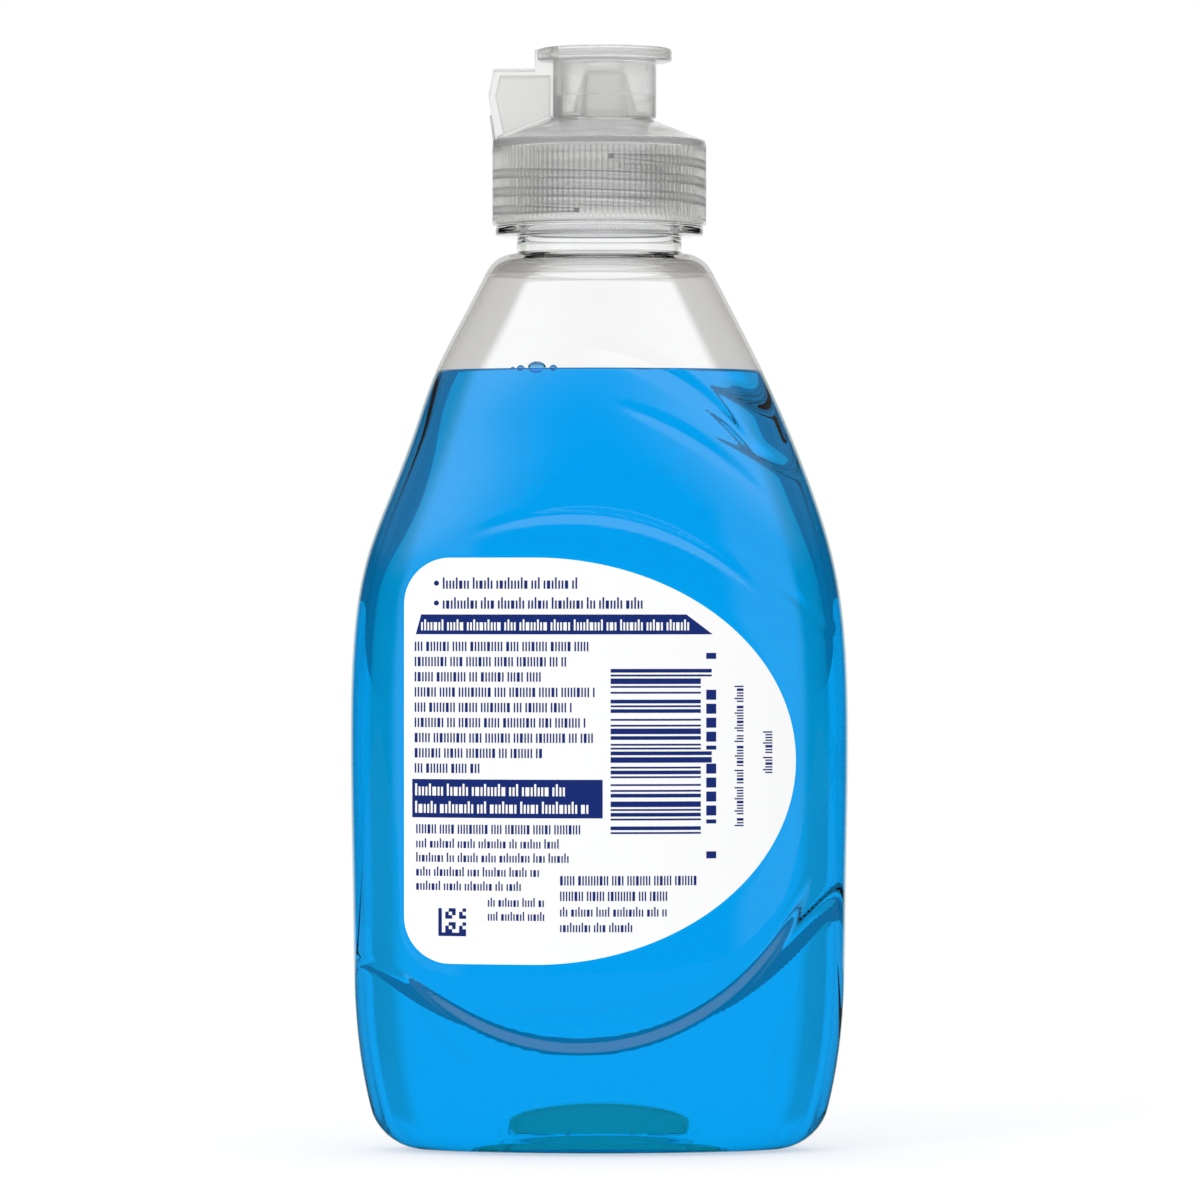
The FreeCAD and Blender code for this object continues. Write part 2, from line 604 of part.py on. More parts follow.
# Check every object, then write each node's shape
doc.recompute()
NODES = [bottle, liquid, back_label, cap, lid]
for obj in doc.Objects:
    if "Invalid" in obj.State or "Error" in obj.State:
        raise RuntimeError("%s did not build" % obj.Label)
for node in NODES:
    if node.Shape.isNull() or not node.Shape.isValid() or not node.Shape.Solids:
        raise RuntimeError("%s has no valid solid" % node.Label)
os.makedirs("parts", exist_ok=True)
for node in NODES:
    node.Shape.exportStep("parts/%s.step" % node.Label)
    print(node.Label, len(node.Shape.Solids), "solid", round(node.Shape.Volume, 1), "mm3")
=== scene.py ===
"""Dress of the dish soap bottle: the clear bottle, its liquid and label, the screw cap and the flip lid.

Lengths are in millimetres, and become metres where meshes are made. The label faces -Y.
"""

import math

import bmesh
import bpy
import numpy as np
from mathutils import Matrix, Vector, geometry


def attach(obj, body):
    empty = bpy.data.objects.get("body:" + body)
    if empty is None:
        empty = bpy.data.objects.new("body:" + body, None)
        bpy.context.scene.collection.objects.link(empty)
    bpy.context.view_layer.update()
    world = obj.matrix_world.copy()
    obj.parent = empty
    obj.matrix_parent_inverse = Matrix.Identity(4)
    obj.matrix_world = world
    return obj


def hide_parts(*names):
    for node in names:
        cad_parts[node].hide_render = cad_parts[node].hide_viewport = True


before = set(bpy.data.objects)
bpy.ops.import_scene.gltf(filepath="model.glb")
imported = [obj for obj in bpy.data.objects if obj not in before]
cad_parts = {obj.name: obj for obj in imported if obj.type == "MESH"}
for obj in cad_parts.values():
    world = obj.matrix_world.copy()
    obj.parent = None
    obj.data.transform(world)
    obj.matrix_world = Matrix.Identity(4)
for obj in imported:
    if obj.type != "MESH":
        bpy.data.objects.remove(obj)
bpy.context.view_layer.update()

MM = 0.001
TURN = 2 * math.pi

# Body outline, as half widths and half depths. The base and the shoulder are its ends
BASE_W, BASE_D = 33.3, 17.2
BODY_W, BODY_D = 38.1, 20.0
SHOULDER, SHOULDER_R, SHOULDER_ROUND = 136.9, 15.9, 2.5
HEEL = 6.0
WALL = 0.6
FILL = 118.9

# Stations between them: share of the shoulder's height, of the width and of the depth, lean to the right
STATIONS = np.array([
    (0.058, 0.930, 0.930, 0.0),
    (0.146, 0.977, 0.970, 0.0),
    (0.260, 0.990, 0.990, 0.0),
    (0.475, 1.000, 1.000, 0.0),
    (0.570, 0.988, 0.995, 0.0),
    (0.662, 0.936, 0.980, 0.1),
    (0.730, 0.854, 0.955, 0.4),
    (0.798, 0.760, 0.920, 0.4),
    (0.865, 0.664, 0.880, 0.0),
    (0.932, 0.543, 0.835, 0.0),
])
HEIGHTS = np.concatenate([[0], STATIONS[:, 0], [1]]) * SHOULDER

# Neck with its support ring, and the oval push-up under the base
NECK_R, BORE_R, NECK_TOP = 12.6, 11.5, 152.2
NECK_WALL, NECK_FILLET = 0.9, 0.35
RING_R, RING_Z0, RING_Z1 = 15.9, 139.8, 141.2
PUSHUP_W, PUSHUP_D = 23.0, 10.5
LEDGE, LEDGE_RISE, LEDGE_REACH = 2.9, 1.6, 0.32
DOME_RISE, DOME_REACH = 5.4, 0.70


def spline(xs, ys):
    """A natural cubic curve through the points, as a function."""
    n = len(xs)
    h = np.diff(xs)
    matrix, right = np.eye(n), np.zeros(n)
    for i in range(1, n - 1):
        matrix[i, i - 1:i + 2] = h[i - 1], 2 * (h[i - 1] + h[i]), h[i]
        right[i] = 6 * ((ys[i + 1] - ys[i]) / h[i] - (ys[i] - ys[i - 1]) / h[i - 1])
    m = np.linalg.solve(matrix, right)

    def at(x):
        x = np.asarray(x, float)
        i = np.clip(np.searchsorted(xs, x) - 1, 0, n - 2)
        a, b, d = xs[i + 1] - x, x - xs[i], h[i]
        curved = (m[i] * a ** 3 + m[i + 1] * b ** 3) / (6 * d)
        return curved + (ys[i] / d - m[i] * d / 6) * a + (ys[i + 1] / d - m[i + 1] * d / 6) * b
    return at


half_w = spline(HEIGHTS, np.concatenate([[BASE_W], STATIONS[:, 1] * BODY_W, [SHOULDER_R]]))
half_d = spline(HEIGHTS, np.concatenate([[BASE_D], STATIONS[:, 2] * BODY_D, [SHOULDER_R]]))
lean = spline(HEIGHTS, np.concatenate([[0], STATIONS[:, 3], [0]]))


def body_at(z):
    """Half width, half depth and lean of the body at a height."""
    return float(half_w(z)), float(half_d(z)), float(lean(z))


def smooth(t):
    """A soft step from 0 to 1."""
    t = np.clip(t, 0, 1)
    return t * t * (3 - 2 * t)


# Moulded relief seen from the front. The swoosh lies between two ovals, given by centre, half width and
# half height. The crescent and the leaf each lie between two round arcs, given by centre and radius
SWOOSH_OUTER = (-3.0, 57.0, 38.7, 41.3)
SWOOSH_INNER = (-5.0, 58.5, 40.0, 37.4)
CRESCENT_OUTER = (-4.84, 76.2, 38.5)
CRESCENT_INNER = (-28.1, 39.3, 80.0)
LEAF_OUTER = (-2.8, 93.0, 30.0)
LEAF_INNER = (-21.0, 62.0, 62.5)

# How deep each sinks, and how wide the soft step at its outer edge is
SWOOSH_DEPTH, SWOOSH_STEP = 0.8, 1.6
CRESCENT_DEPTH, CRESCENT_STEP = 0.5, 1.2
LEAF_DEPTH, LEAF_STEP = 0.5, 1.0
INNER_STEP = 0.9
STEEPEST = 0.28
OUTER_SHARE = 0.4

# The relief runs out towards the sides: share of the half width where that starts, its width and its share
FADE_START, FADE_WIDTH, FADE_SHARE = 0.70, 0.20, 0.85


def oval_distance(x, z, cx, cz, a, b):
    """Rough distance outside an oval, below zero inside it."""
    u, v = (x - cx) / a, (z - cz) / b
    rho = np.sqrt(u * u + v * v) + 1e-9
    return (rho - 1) * rho / np.sqrt((u / a) ** 2 + (v / b) ** 2 + 1e-12)


def arc_distance(x, z, cx, cz, radius):
    """Distance outside a circle, below zero inside it."""
    return np.hypot(x - cx, z - cz) - radius


def band(outer, inner, step, depth):
    """Depth of a moulded band: a soft step down at its outer edge, then a slope up to its inner edge.

    outer is the distance inside the outer edge, and inner is the distance outside the inner edge.
    """
    width = np.maximum(outer, 0) + np.maximum(inner, 0) + 1e-6
    share = np.clip(np.maximum(inner, 0) / width, 0, 1)
    deep = np.minimum(depth, STEEPEST * width)
    deep = deep * smooth(outer / step) * smooth(inner / INNER_STEP) * (OUTER_SHARE + (1 - OUTER_SHARE) * share)
    return np.where((outer > 0) & (inner > 0), deep, 0.0)


def relief(x, z):
    """How deep the moulded swoosh, crescent and leaf sink at a place seen from the front."""
    swoosh = band(-oval_distance(x, z, *SWOOSH_OUTER), oval_distance(x, z, *SWOOSH_INNER),
                  SWOOSH_STEP, SWOOSH_DEPTH)
    crescent = band(-arc_distance(x, z, *CRESCENT_OUTER), arc_distance(x, z, *CRESCENT_INNER),
                    CRESCENT_STEP, CRESCENT_DEPTH)
    leaf = band(-arc_distance(x, z, *LEAF_OUTER), arc_distance(x, z, *LEAF_INNER), LEAF_STEP, LEAF_DEPTH)
    sideways = np.abs(x - lean(z)) / half_w(z)
    fade = 1 - FADE_SHARE * smooth((sideways - FADE_START) / FADE_WIDTH)
    return np.maximum(np.maximum(swoosh, crescent), leaf) * fade


# Label, and the shallow panel that it lies in
LABEL_LEFT, LABEL_MIDDLE, LABEL_RIGHT = -29.6, -10.0, 29.8
LABEL_BOTTOM, LABEL_TOP, LABEL_CORNER = 29.0, 90.4, 7.0
PANEL_DEPTH, PANEL_MARGIN, PANEL_EDGE = 0.15, 0.5, 0.5
OUTLINE_STEP = 0.8


def arc(cx, cz, rx, rz, start, end, count):
    """Points on an oval arc seen from the front, between two angles in degrees."""
    turns = [math.radians(t) for t in np.linspace(start, end, count)]
    return [(cx + rx * math.cos(a), cz + rz * math.sin(a)) for a in turns]


def label_outline():
    """The label's outline seen from the front, rounded on the left and half an oval on the right."""
    corner, step = LABEL_CORNER, OUTLINE_STEP
    middle, half = (LABEL_TOP + LABEL_BOTTOM) / 2, (LABEL_TOP - LABEL_BOTTOM) / 2
    points = arc(LABEL_MIDDLE, middle, LABEL_RIGHT - LABEL_MIDDLE, half, -90, 90, int(100 / step))
    points += [(x, LABEL_TOP) for x in np.arange(LABEL_MIDDLE - step, LABEL_LEFT + corner, -step)]
    points += arc(LABEL_LEFT + corner, LABEL_TOP - corner, corner, corner, 90, 180, 16)
    points += [(LABEL_LEFT, z) for z in np.arange(LABEL_TOP - corner - step, LABEL_BOTTOM + corner, -step)]
    points += arc(LABEL_LEFT + corner, LABEL_BOTTOM + corner, corner, corner, 180, 270, 16)
    points += [(x, LABEL_BOTTOM) for x in np.arange(LABEL_LEFT + corner + step, LABEL_MIDDLE, step)]
    return points


def inside_label(x, z, grow):
    """Distance inside the label's outline grown all round, rough near its corners and below zero outside."""
    left, corner = LABEL_LEFT - grow, LABEL_CORNER + grow
    middle, half = (LABEL_TOP + LABEL_BOTTOM) / 2, (LABEL_TOP - LABEL_BOTTOM) / 2 + grow
    in_oval = -oval_distance(x, z, LABEL_MIDDLE, middle, LABEL_RIGHT + grow - LABEL_MIDDLE, half)
    across = np.maximum(left + corner - x, 0)
    up = np.maximum(np.abs(z - middle) - (half - corner), 0)
    from_end = half - np.abs(z - middle)
    in_left = np.where((across == 0) & (up == 0), np.minimum(x - left, from_end), corner - np.hypot(across, up))
    return np.where(x > LABEL_MIDDLE, in_oval, np.minimum(in_left, from_end))


def sunk(x, z):
    """Relief and label panel together."""
    return relief(x, z) + PANEL_DEPTH * smooth(0.5 + inside_label(x, z, PANEL_MARGIN) / PANEL_EDGE)


# Mesh tools

def make(name, verts, faces, material, smooth_shade=True):
    """A mesh object from points in millimetres."""
    mesh = bpy.data.meshes.new(name)
    mesh.from_pydata([(x * MM, y * MM, z * MM) for x, y, z in verts], [], faces)
    mesh.validate()
    if smooth_shade:
        mesh.polygons.foreach_set("use_smooth", [True] * len(mesh.polygons))
    mesh.materials.append(material)
    obj = bpy.data.objects.new(name, mesh)
    bpy.context.scene.collection.objects.link(obj)
    return obj


def orient(obj):
    """Turn a piece's faces outwards."""
    work = bmesh.new()
    work.from_mesh(obj.data)
    bmesh.ops.recalc_face_normals(work, faces=work.faces)
    work.to_mesh(obj.data)
    work.free()
    return obj


def rings(rows, closed, capped=True):
    """Vertices and faces of a skin over rings of equal length.

    A closed skin comes back to its first ring. A capped one that isn't closed has a fan over each end.
    """
    count, total = len(rows[0]), len(rows)
    base = np.arange(count)
    after = (base + 1) % count
    verts = np.concatenate(rows).tolist()
    faces = []
    for i in range(total if closed else total - 1):
        here, there = i * count, (i + 1) % total * count
        faces.extend(np.stack([here + base, here + after, there + after, there + base], 1).tolist())
    if capped and not closed:
        last = (total - 1) * count
        verts.append(rows[0].mean(0).tolist())
        faces.extend([[int(after[k]), int(base[k]), len(verts) - 1] for k in range(count)])
        verts.append(rows[-1].mean(0).tolist())
        faces.extend([[last + int(base[k]), last + int(after[k]), len(verts) - 1] for k in range(count)])
    return verts, faces


def profile(corners, segments=5):
    """A line through corners of (radius, height, rounding[, centre]), each rounded by an arc."""
    line = []
    for i, (r, z, rounding, *rest) in enumerate(corners):
        centre = rest[0] if rest else 0.0
        if rounding <= 0 or i in (0, len(corners) - 1):
            line.append((r, z, centre))
            continue
        corner = Vector((r, z))
        back = Vector(corners[i - 1][:2]) - corner
        ahead = Vector(corners[i + 1][:2]) - corner
        longest = 0.49 * min(back.length, ahead.length)
        back.normalize()
        ahead.normalize()
        angle = back.angle(ahead)
        reach = min(rounding / max(math.tan(angle / 2), 1e-6), longest)
        radius = reach * math.tan(angle / 2)
        hub = corner + (back + ahead).normalized() * (radius / math.sin(angle / 2))
        first, last = corner + back * reach - hub, corner + ahead * reach - hub
        for k in range(segments + 1):
            point = hub + first.slerp(last, k / segments).normalized() * radius
            line.append((point.x, point.y, centre))
    return line


def lathe(points, count, ripple=None):
    """Rings round Z from rows of (radius, height, centre), less what a ripple takes off the radius."""
    t = np.arange(count) * TURN / count
    rows = []
    for r, z, centre in points:
        radius = np.full(count, r)
        if ripple is not None:
            radius = radius - ripple(t, r, z)
        rows.append(np.stack([centre + radius * np.cos(t), radius * np.sin(t), np.full(count, z)], 1))
    return rows


def turned(name, points, count, material, ripple=None, closed=True):
    """A piece turned round Z, with its faces outwards."""
    verts, faces = rings(lathe(points, count, ripple), closed)
    return orient(make(name, verts, faces, material))


def soften(obj, width, angle):
    """Round off an object's edges that are sharper than an angle."""
    bevel = obj.modifiers.new("soft", "BEVEL")
    bevel.width = width * MM
    bevel.segments = 3
    bevel.limit_method = "ANGLE"
    bevel.angle_limit = math.radians(angle)


def carve(obj, tool):
    """Take a tool's form away from an object."""
    cut = obj.modifiers.new("cut", "BOOLEAN")
    cut.operation = "DIFFERENCE"
    cut.solver = "EXACT"
    cut.object = tool


def settle(obj, *tools):
    """Keep what an object's modifiers make, and drop the tools that they used."""
    shown = bpy.context.evaluated_depsgraph_get()
    mesh = bpy.data.meshes.new_from_object(obj.evaluated_get(shown))
    obj.modifiers.clear()
    obj.data = mesh
    for tool in tools:
        bpy.data.objects.remove(tool)


# Node tools

def empty_tree(owner):
    """The node tree of a material or a world, with nothing in it."""
    owner.use_nodes = True
    owner.node_tree.nodes.clear()
    return owner.node_tree


def add_node(tree, kind, inputs=None, **settings):
    """A node with its settings. Each input is given by number or name, as a value or as an output to link."""
    made = tree.nodes.new(kind)
    for key, value in settings.items():
        setattr(made, key, value)
    for key, value in (inputs or {}).items():
        if isinstance(value, bpy.types.NodeSocket):
            tree.links.new(value, made.inputs[key])
        else:
            made.inputs[key].default_value = value
    return made


# Materials

def principled(name, **values):
    """A Principled material. The names of its inputs are written with _ for a space."""
    mat = bpy.data.materials.new(name)
    mat.use_nodes = True
    shader = mat.node_tree.nodes["Principled BSDF"]
    for key, value in values.items():
        shader.inputs[key.replace("_", " ")].default_value = value
    return mat


def thin_clear(name, colour, edge, shade_from, shade_to, straight, rise, power):
    """A thin clear wall: light goes straight through, and more of it is mirrored at a glancing angle.

    The colour goes over to the darker edge colour as the wall turns away from the eye: painted shade at
    the wall's edges. The mirrored share is straight where the wall faces the eye, and grows by rise towards
    its edge, later with a higher power.
    """
    mat = bpy.data.materials.new(name)
    tree = empty_tree(mat)
    facing = add_node(tree, "ShaderNodeLayerWeight", {"Blend": 0.5}).outputs["Facing"]
    # Painted shade: the tint darkens towards the edge colour as the wall turns away from the eye
    away = add_node(tree, "ShaderNodeMapRange", {0: facing, 1: shade_from, 2: shade_to},
                    interpolation_type="SMOOTHSTEP").outputs[0]
    tint = add_node(tree, "ShaderNodeMix", {0: away, 6: (*colour, 1), 7: (*edge, 1)}, data_type="RGBA").outputs[2]
    through = add_node(tree, "ShaderNodeBsdfTransparent", {"Color": tint}).outputs[0]
    mirror = add_node(tree, "ShaderNodeBsdfGlossy", {"Roughness": 0.02}).outputs[0]
    curve = add_node(tree, "ShaderNodeMath", {0: facing, 1: power}, operation="POWER").outputs[0]
    share = add_node(tree, "ShaderNodeMath", {0: curve, 1: rise, 2: straight}, operation="MULTIPLY_ADD").outputs[0]
    mix = add_node(tree, "ShaderNodeMixShader", {0: share, 1: through, 2: mirror}).outputs[0]
    add_node(tree, "ShaderNodeOutputMaterial", {"Surface": mix})
    return mat


# The edge colours are painted shade: teal beside the soap, grey on the shoulder and faint on the inside
clear_wall = thin_clear("clear_bottle", (0.997, 0.998, 0.998), edge=(0.86, 0.94, 0.90), shade_from=0.5,
                        shade_to=0.95, straight=0.05, rise=0.3, power=5)
clear_shoulder = thin_clear("clear_shoulder", (0.997, 0.997, 0.996), edge=(0.80, 0.795, 0.785), shade_from=0.18,
                            shade_to=0.25, straight=0.03, rise=0.5, power=4)
clear_inside = thin_clear("clear_inside", (0.998, 0.998, 0.998), edge=(0.97, 0.97, 0.97), shade_from=0.5,
                          shade_to=0.95, straight=0.01, rise=0.1, power=5)
neck_clear = principled("clear_neck", Base_Color=(0.985, 0.988, 0.988, 1), Roughness=0.0, IOR=1.5,
                        Transmission_Weight=1.0)
blue_soap = principled("blue_soap", Base_Color=(0, 0.395, 0.955, 1), Roughness=0.0, IOR=1.35,
                       Transmission_Weight=1.0)
# Painted light: a lighter teal copy of the soap, with little bending, for the soap over the push-up's dome
base_soap_painted_light = principled("blue_soap_base_painted_light", Base_Color=(0, 0.70, 0.50, 1), Roughness=0.0, IOR=1.06,
                       Transmission_Weight=1.0)
bubble_skin = principled("soap_bubble", Base_Color=(0.22, 0.66, 0.93, 1), Roughness=0.0, IOR=1.33,
                         Transmission_Weight=1.0)
film = principled("label_film", Base_Color=(0.95, 0.952, 0.955, 1), Roughness=0.4)
navy = principled("label_print", Base_Color=(0.001, 0.018, 0.17, 1), Roughness=0.5, Specular_IOR_Level=0.2)
cap_plastic = principled("cap_plastic", Base_Color=(0.965, 0.963, 0.955, 1), Roughness=0.14, IOR=1.42,
                         Transmission_Weight=0.82)
# Painted shade: a darker copy of the cap's plastic for the faces down in the skirt's grooves
groove_painted_shade = principled("cap_grooves_painted_shade", Base_Color=(0.7, 0.7, 0.695, 1), Roughness=0.14, IOR=1.45,
                            Transmission_Weight=0.82)
thread_plastic = principled("thread_plastic", Base_Color=(0.97, 0.97, 0.965, 1), Roughness=0.05, IOR=1.5,
                            Transmission_Weight=1.0)
spout_plastic = principled("spout_plastic", Base_Color=(0.99, 0.985, 0.965, 1), Roughness=0.15, IOR=1.3,
                           Transmission_Weight=0.9)
lid_plastic = principled("lid_plastic", Base_Color=(0.975, 0.975, 0.97, 1), Roughness=0.2, IOR=1.38,
                         Transmission_Weight=0.85)

# Bottle, meshed up to the height where the neck's own mesh takes over

SPLIT = 133.7
LINER_FOOT = FILL - 0.465
COLUMNS, BODY_ROWS, BASE_ROWS = 360, 200, 11
T = np.arange(COLUMNS) * TURN / COLUMNS


def body_ring(z, inset, flat=0.0, shape=sunk):
    """A ring on the body at a height, moved inwards by an inset, a rounding's share and the relief."""
    a, b, c = body_at(z)
    level = np.full(COLUMNS, float(z))
    cos, sin = np.cos(T), np.sin(T)
    down = shape(c + a * cos, level)
    return np.stack([c + (a - inset - flat - down) * cos, (b - inset - flat - down) * sin, level], 1)


def oval_ring(a, b, z):
    return np.stack([a * np.cos(T), b * np.sin(T), np.full(COLUMNS, float(z))], 1)


def pushup_rows(grow, count):
    """Rings under the base, from the dome's crown to the foot of the push-up, twice count in all."""
    rows = []
    for u in np.concatenate([np.linspace(0.04, 0.66, count), np.linspace(0.72, 1, count)]):
        dome = LEDGE + DOME_RISE * math.sqrt(1 - (u / DOME_REACH) ** 2) if u < DOME_REACH else 0.0
        ledge = LEDGE + LEDGE_RISE * smooth((1 - u) / LEDGE_REACH)
        z = max(dome, ledge) * (1 - smooth((u - 0.93) / 0.07) ** 2)
        rows.append(oval_ring((PUSHUP_W + grow) * u, (PUSHUP_D + grow) * u, z + grow * (1 - u ** 20)))
    return rows


def heel_rows(inset, degrees, shape=sunk):
    """Rings round the heel's rounding, at angles up from the base."""
    heel = HEEL - inset
    turns = [math.radians(deg) for deg in degrees]
    return [body_ring(inset + heel * (1 - math.cos(a)), inset, heel * (1 - math.sin(a)), shape) for a in turns]


def outside_rows():
    """Rings of the bottle's outside, from the push-up's crown up to the split."""
    rows = pushup_rows(0, BASE_ROWS)
    foot_w, foot_d = float(half_w(0)) - HEEL, float(half_d(0)) - HEEL
    for k in (0.5, 1.0):
        rows.append(oval_ring(PUSHUP_W + (foot_w - PUSHUP_W) * k, PUSHUP_D + (foot_d - PUSHUP_D) * k, 0))
    rows += heel_rows(0, np.linspace(10, 90, 9))
    rows += [body_ring(z, 0) for z in np.linspace(HEEL, SPLIT, BODY_ROWS)[1:]]
    return rows


def shoulder_rows(inset, degrees):
    """Rings round the shoulder's rounding, at angles up from its side."""
    top, radius = SHOULDER - SHOULDER_ROUND, SHOULDER_ROUND - inset
    turns = [math.radians(deg) for deg in degrees]
    return [body_ring(top + radius * math.sin(a), inset, radius * (1 - math.cos(a))) for a in turns]


def neck_rows():
    """Rings of the shoulder's round, the neck and its ring, from the split up outside and down inside."""
    rows = [body_ring(z, 0) for z in np.linspace(SPLIT, SHOULDER - SHOULDER_ROUND, 3)]
    rows += shoulder_rows(0, np.linspace(12, 90, 9))
    neck = profile([(13.4, SHOULDER, 0), (NECK_R, SHOULDER, NECK_FILLET), (NECK_R, RING_Z0, 0.25),
                    (RING_R, RING_Z0, 0.3), (RING_R, RING_Z1, 0.3), (NECK_R, RING_Z1, 0.25),
                    (NECK_R, NECK_TOP, 0.3), (BORE_R, NECK_TOP, 0.3), (BORE_R, SHOULDER - 0.6, 0.5),
                    (13.3, SHOULDER - 0.95, 0)])
    rows += lathe(neck[1:-1], COLUMNS)
    rows += shoulder_rows(NECK_WALL, np.linspace(84, 6, 8))
    rows.append(body_ring(SPLIT, NECK_WALL))
    return rows


# The soap fills the wall's inside, so the wall's inner face ends just under the soap's level
outside = outside_rows()
liner = [body_ring(z, WALL) for z in np.linspace(SPLIT, LINER_FOOT, 11)]
bottle = make("bottle_shell", *rings(outside + liner, closed=False, capped=False), clear_wall)
bottle.data.materials.append(clear_inside)
bottle.data.materials.append(clear_shoulder)
# Faces over the soap's level take the shoulder's clear, with its painted grey shade towards the edges
outside_faces = (len(outside) - 1) * COLUMNS
for face in bottle.data.polygons:
    if face.index >= outside_faces:
        face.material_index = 1
    elif face.center.z > FILL * MM:
        face.material_index = 2

neck = make("bottle_neck", *rings(neck_rows(), closed=True), neck_clear)
# The neck's faces on the shoulder take the same painted grey edge shade
neck.data.materials.append(clear_shoulder)
for face in neck.data.polygons:
    if face.center.z < (SHOULDER + 0.1) * MM and face.center.xy.length > (NECK_R + NECK_FILLET) * MM:
        face.material_index = 1

# Soap. It stands just inside the wall's outer face, so that it seems to fill the bottle right across

SOAP_INSET = 0.1
MENISCUS = 0.2
SOAP_BASE_ROWS, SOAP_ROWS = 9, 190
# Share of the push-up's reach within which the soap takes the painted lighter teal
PAINTED_LIGHT_REACH = 0.98


def soap_rows():
    """Rings of the soap, from the push-up's crown up the wall and in over its level."""
    rows = pushup_rows(SOAP_INSET, SOAP_BASE_ROWS)
    rows += heel_rows(SOAP_INSET, np.linspace(8, 84, 8), relief)
    for z in np.linspace(HEEL + 0.4, FILL - 0.3, SOAP_ROWS):
        rows.append(body_ring(z, SOAP_INSET, shape=relief))
    rows.append(body_ring(FILL + MENISCUS, SOAP_INSET, shape=relief))
    for inward, share in ((0.5, 0.45), (1.1, 0.76), (2.0, 0.94), (3.5, 1.0)):
        rows.append(body_ring(FILL + MENISCUS * (1 - share), SOAP_INSET, inward, relief))
    level_w, level_d = float(half_w(FILL)) - 4, float(half_d(FILL)) - 4
    rows += [oval_ring(level_w * k, level_d * k, FILL) for k in (0.75, 0.5, 0.25)]
    return rows


soap = make("soap", *rings(soap_rows(), closed=False), blue_soap)
# Over the push-up's dome the soap takes the lighter teal copy, painted light
soap.data.materials.append(base_soap_painted_light)
base_faces = 2 * SOAP_BASE_ROWS * COLUMNS
for face in soap.data.polygons:
    reach = math.hypot(face.center.x / PUSHUP_W, face.center.y / PUSHUP_D)
    if face.index < base_faces and reach < PAINTED_LIGHT_REACH * MM:
        face.material_index = 1

# Label and its print, thin pieces that follow the front of the body

LABEL_OUT, LABEL_THICKNESS = -0.04, 0.1
PRINT_OUT, PALE_OUT = -0.015, 0.005


def front(x, z, out):
    """The front surface's point at a place seen from the front, moved outwards."""
    a, b, c = body_at(z)
    return (x, -(b + out) * math.sqrt(max(0.0, 1 - ((x - c) / (a + out)) ** 2)), z)


def divided(outline, spacing):
    """The outline with its long edges divided."""
    points = []
    for (x, z), (x2, z2) in zip(outline, outline[1:] + outline[:1]):
        count = max(1, math.ceil(math.hypot(x2 - x, z2 - z) / spacing))
        points += [(float(x + (x2 - x) * k / count), float(z + (z2 - z) * k / count)) for k in range(count)]
    return points


def margin_inside(x, z, outline):
    """Distance to the outline when inside it, below zero when outside."""
    px, pz = np.array(outline).T
    qx, qz = np.roll(px, -1), np.roll(pz, -1)
    dx, dz = qx - px, qz - pz
    t = np.clip(((x - px) * dx + (z - pz) * dz) / (dx * dx + dz * dz + 1e-12), 0, 1)
    distance = np.hypot(px + t * dx - x, pz + t * dz - z).min()
    crossed = ((pz > z) != (qz > z)) & (x < (qx - px) * (z - pz) / (qz - pz + 1e-12) + px)
    return distance if crossed.sum() % 2 else -distance


def patch(name, outline, out, thickness, material, spacing=1.6):
    """A thin piece inside an outline seen from the front, laid on the body. Print has no thickness."""
    outline = divided(outline, spacing)
    xs, zs = zip(*outline)
    n = len(outline)
    points = [Vector(point) for point in outline]
    for x in np.arange(min(xs) + spacing / 2, max(xs), spacing):
        for z in np.arange(min(zs) + spacing / 2, max(zs), spacing):
            if margin_inside(x, z, outline) > spacing * 0.3:
                points.append(Vector((x, z)))
    edges = [(i, (i + 1) % n) for i in range(n)]
    flat, _, cells, _, _, _ = geometry.delaunay_2d_cdt(points, edges, [list(range(n))], 1, 1e-5)
    top = [front(v.x, v.y, out) for v in flat]
    if thickness <= 0:
        return orient(make(name, top, [list(cell)[::-1] for cell in cells], material))
    under = [front(v.x, v.y, out - thickness) for v in flat]
    m = len(top)
    faces = [list(cell) for cell in cells] + [[i + m for i in reversed(cell)] for cell in cells]
    sides = {(cell[i], cell[(i + 1) % len(cell)]): True for cell in cells for i in range(len(cell))}
    faces += [[j, i, i + m, j + m] for i, j in sides if (j, i) not in sides]
    return orient(make(name, top + under, faces, material))


label = patch("label_sheet", label_outline(), LABEL_OUT, LABEL_THICKNESS, film)
for face in label.data.polygons:
    face.use_smooth = False

# The print is laid out in the photograph's pixels: a pixel's size and the bottle's axis on the near face

PIXEL = 0.15052
AXIS_X, AXIS_Y, AXIS_HEIGHT = 599.3, 600, 84.0

# Lengths of the groups in small print, and its marks: 0 is low, 1 is tall and 2 is low and wide
GROUPS = (5, 8, 3, 10, 6, 7, 4, 9)
MARKS = (2, 0, 1, 0, 0, 2, 0, 1, 0, 0, 0, 1, 2, 0, 0, 1, 0)
GROUP_GAP = 2.4


def place(x, y):
    return ((x - AXIS_X) * PIXEL, AXIS_HEIGHT + (AXIS_Y - y) * PIXEL)


def bar(x0, y0, x1, y1):
    """The outline of a printed bar between two of the photograph's pixels."""
    return [place(x0, y1), place(x1, y1), place(x1, y0), place(x0, y0)]


def dot(x, y, radius):
    return [place(x + radius * math.cos(a), y + radius * math.sin(a)) for a in np.arange(12) * TURN / 12]


